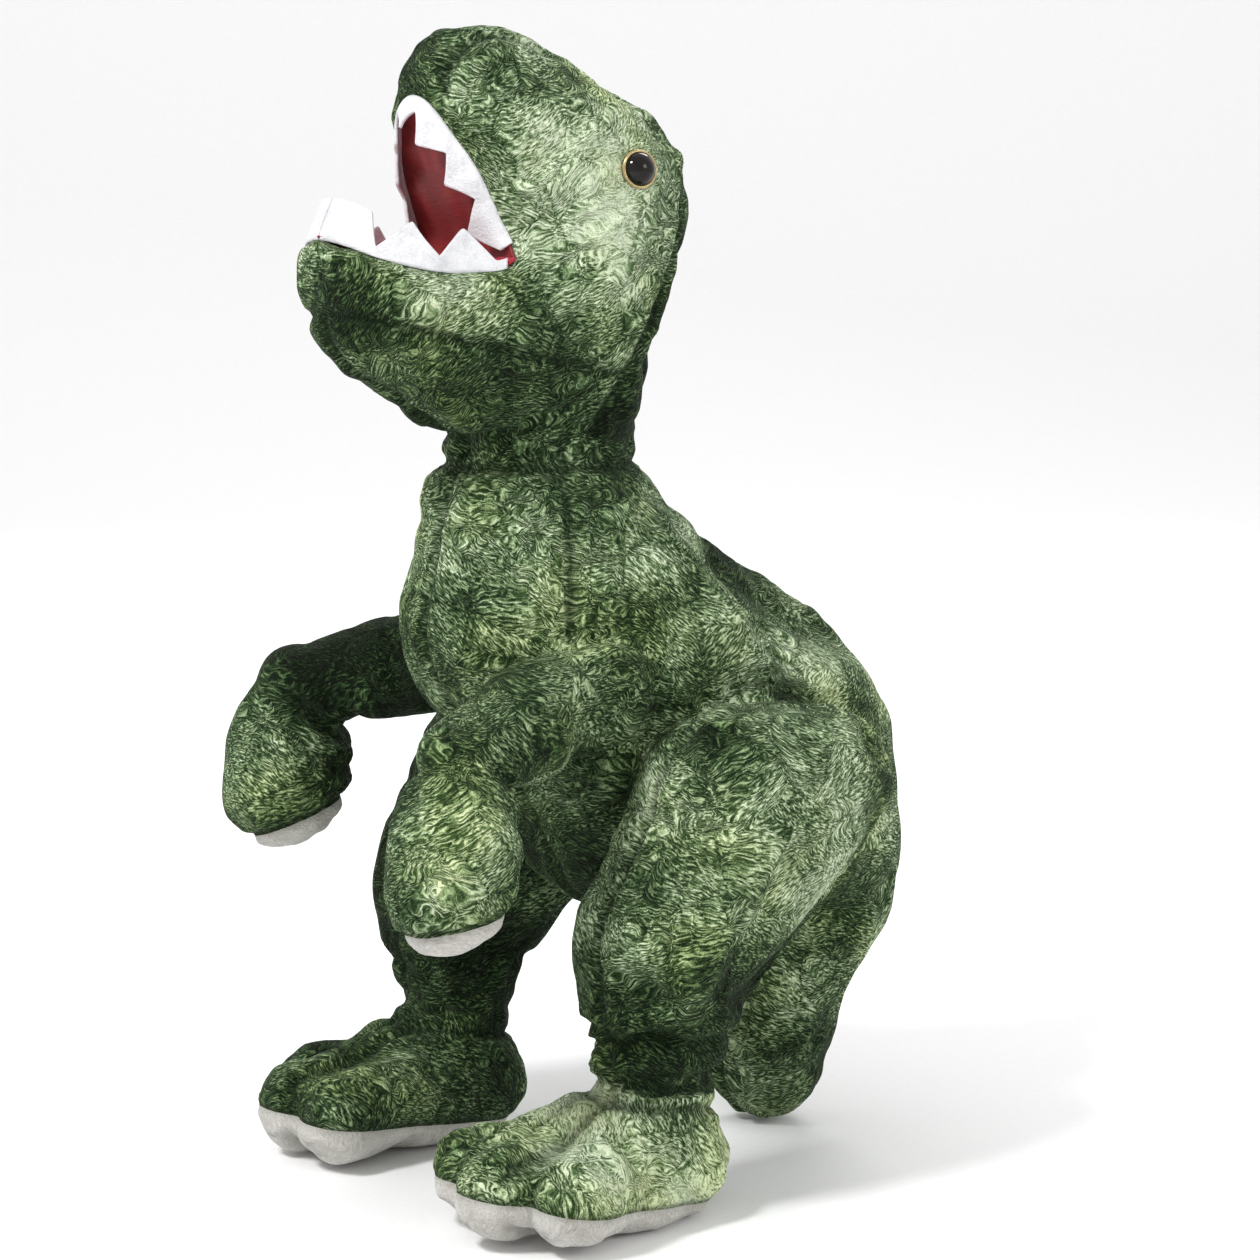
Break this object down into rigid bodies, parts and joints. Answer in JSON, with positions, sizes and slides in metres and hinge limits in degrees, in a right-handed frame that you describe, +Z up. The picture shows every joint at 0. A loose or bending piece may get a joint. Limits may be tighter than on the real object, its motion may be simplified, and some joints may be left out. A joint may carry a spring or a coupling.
{
  "type": "stuffed dinosaur",
  "caption": "Standing plush dinosaur with its head thrown back, open felt-toothed mouth, short jointed arms, drumstick legs, three-toed feet and a blunt tail.",
  "frame": {"origin": "on the floor, under the middle of the toy's bounding box", "axes": "+Z up, -Y the way the dinosaur faces, +X its left side"},
  "size_m": [0.212, 0.2724, 0.4313],
  "materials": {
    "green_plush": "short ribbed pile, mottled dark and light green",
    "dark_plush": "short ribbed pile, dark green",
    "pale_nap": "warm grey-white fabric with a fine short nap",
    "stuffing": "white polyester fibre fill",
    "palate_satin": "smooth dark red satin",
    "red_plush": "bright red short pile",
    "white_felt": "white felt with cut edges",
    "eye_black": "polished black dome",
    "eye_gold": "thin gold ring",
    "washer_plastic": "natural white plastic"
  },
  "bodies": {
    "torso": {"chest_panel_left": "green_plush", "chest_panel_right": "green_plush", "side_panel_left": "green_plush", "side_panel_right": "green_plush", "torso_stuffing": "stuffing"},
    "neck": {"neck_seam_band": "dark_plush"},
    "head": {"head_side_left": "green_plush", "head_side_right": "green_plush", "head_top_gusset": "green_plush", "nape_panel": "dark_plush", "chin_panel": "green_plush", "palate_lining": "palate_satin", "mouth_floor": "red_plush", "upper_teeth": "white_felt", "lower_teeth": "white_felt", "eye_left": "eye_black", "eye_right": "eye_black", "eye_rim_left": "eye_gold", "eye_rim_right": "eye_gold", "eye_washer_left": "washer_plastic", "eye_washer_right": "washer_plastic", "head_stuffing": "stuffing"},
    "upper_arm_left": {"upper_arm_left": "green_plush", "upper_arm_stuffing_left": "stuffing"},
    "upper_arm_right": {"upper_arm_right": "green_plush", "upper_arm_stuffing_right": "stuffing"},
    "forearm_left": {"paw_left": "green_plush", "paw_pad_left": "pale_nap", "paw_stuffing_left": "stuffing"},
    "forearm_right": {"paw_right": "green_plush", "paw_pad_right": "pale_nap", "paw_stuffing_right": "stuffing"},
    "leg_left": {"leg_outer_left": "green_plush", "leg_inner_left": "green_plush", "leg_stuffing_left": "stuffing"},
    "leg_right": {"leg_outer_right": "green_plush", "leg_inner_right": "green_plush", "leg_stuffing_right": "stuffing"},
    "foot_left": {"foot_upper_left": "green_plush", "sole_left": "pale_nap", "foot_stuffing_left": "stuffing"},
    "foot_right": {"foot_upper_right": "green_plush", "sole_right": "pale_nap", "foot_stuffing_right": "stuffing"},
    "tail": {"tail_panel_left": "green_plush", "tail_panel_right": "green_plush", "tail_stuffing": "stuffing"}
  },
  "joints": [
    {"name": "neck_turn", "type": "hinge", "parent": "torso", "child": "neck", "pos_m": [0, -0.0238, 0.283], "axis": [0, 0, 1], "range_deg": [-35, 35], "stiffness_Nm_per_rad": 1.2},
    {"name": "head_nod", "type": "hinge", "parent": "neck", "child": "head", "pos_m": [0, -0.0238, 0.283], "axis": [1, 0, 0], "range_deg": [-8, 15], "stiffness_Nm_per_rad": 3},
    {"name": "shoulder_left", "type": "hinge", "parent": "torso", "child": "upper_arm_left", "pos_m": [0.042, -0.0338, 0.189], "axis": [1, 0, 0], "range_deg": [-30, 12], "stiffness_Nm_per_rad": 1},
    {"name": "shoulder_right", "type": "hinge", "parent": "torso", "child": "upper_arm_right", "pos_m": [-0.042, -0.0338, 0.193], "axis": [1, 0, 0], "range_deg": [-30, 12], "stiffness_Nm_per_rad": 1},
    {"name": "elbow_left", "type": "hinge", "parent": "upper_arm_left", "child": "forearm_left", "pos_m": [0.062, -0.1018, 0.175], "axis": [1, 0, 0], "range_deg": [-20, 30], "stiffness_Nm_per_rad": 0.5},
    {"name": "elbow_right", "type": "hinge", "parent": "upper_arm_right", "child": "forearm_right", "pos_m": [-0.08, -0.0798, 0.181], "axis": [1, 0, 0], "range_deg": [-20, 30], "stiffness_Nm_per_rad": 0.5},
    {"name": "hip_left", "type": "hinge", "parent": "torso", "child": "leg_left", "pos_m": [0.062, 0.0362, 0.138], "axis": [1, 0, 0], "range_deg": [-20, 20], "stiffness_Nm_per_rad": 4},
    {"name": "hip_right", "type": "hinge", "parent": "torso", "child": "leg_right", "pos_m": [-0.062, 0.0362, 0.138], "axis": [1, 0, 0], "range_deg": [-20, 20], "stiffness_Nm_per_rad": 4},
    {"name": "ankle_left", "type": "hinge", "parent": "leg_left", "child": "foot_left", "pos_m": [0.065, -0.0218, 0.042], "axis": [1, 0, 0], "range_deg": [-12, 12], "stiffness_Nm_per_rad": 1.5},
    {"name": "ankle_right", "type": "hinge", "parent": "leg_right", "child": "foot_right", "pos_m": [-0.065, -0.0218, 0.042], "axis": [1, 0, 0], "range_deg": [-12, 12], "stiffness_Nm_per_rad": 1.5},
    {"name": "tail_bend", "type": "hinge", "parent": "torso", "child": "tail", "pos_m": [0, 0.0902, 0.102], "axis": [1, 0, 0], "range_deg": [-5, 25], "stiffness_Nm_per_rad": 3}
  ]
}
